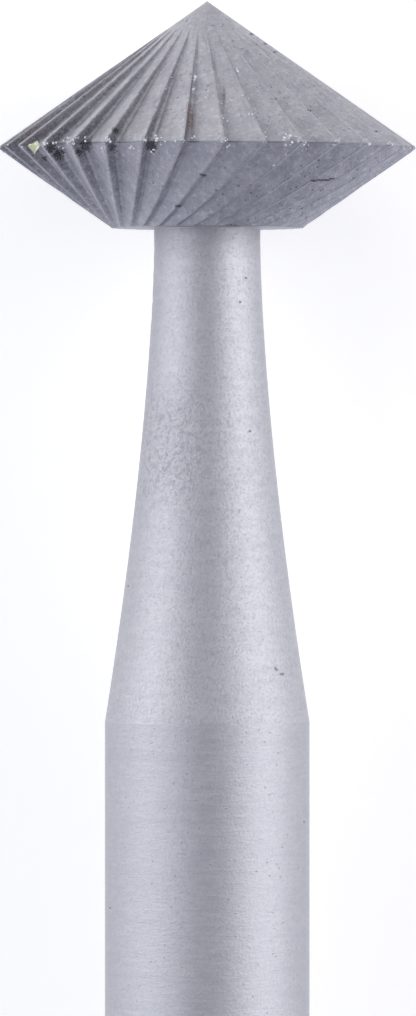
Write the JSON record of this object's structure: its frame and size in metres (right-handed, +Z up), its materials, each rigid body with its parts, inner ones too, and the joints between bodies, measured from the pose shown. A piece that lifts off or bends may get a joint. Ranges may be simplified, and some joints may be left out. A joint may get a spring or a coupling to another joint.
{
  "type": "double-cone cutting bur",
  "caption": "One-piece steel bur for a hand piece: a double-cone head with milled ratchet teeth that cuts a V-shaped groove, on a flaring neck and a plain round shank.",
  "frame": {"origin": "centre of the bounding box at its base, on the surface the bur lies on", "axes": "+Y along the bur from the shank towards the head, +Z up; the bur lies on its side on two teeth and the end of its shank, so its own axis rises 1.64 degrees from the shank to the head"},
  "size_m": [0.0048, 0.0446, 0.0048],
  "materials": {
    "steel": "grey tool steel: milled and pitted head with burred edges, fine matt neck, shank ground with fine rings"
  },
  "bodies": {
    "root": {"bur": "steel"}
  },
  "joints": []
}
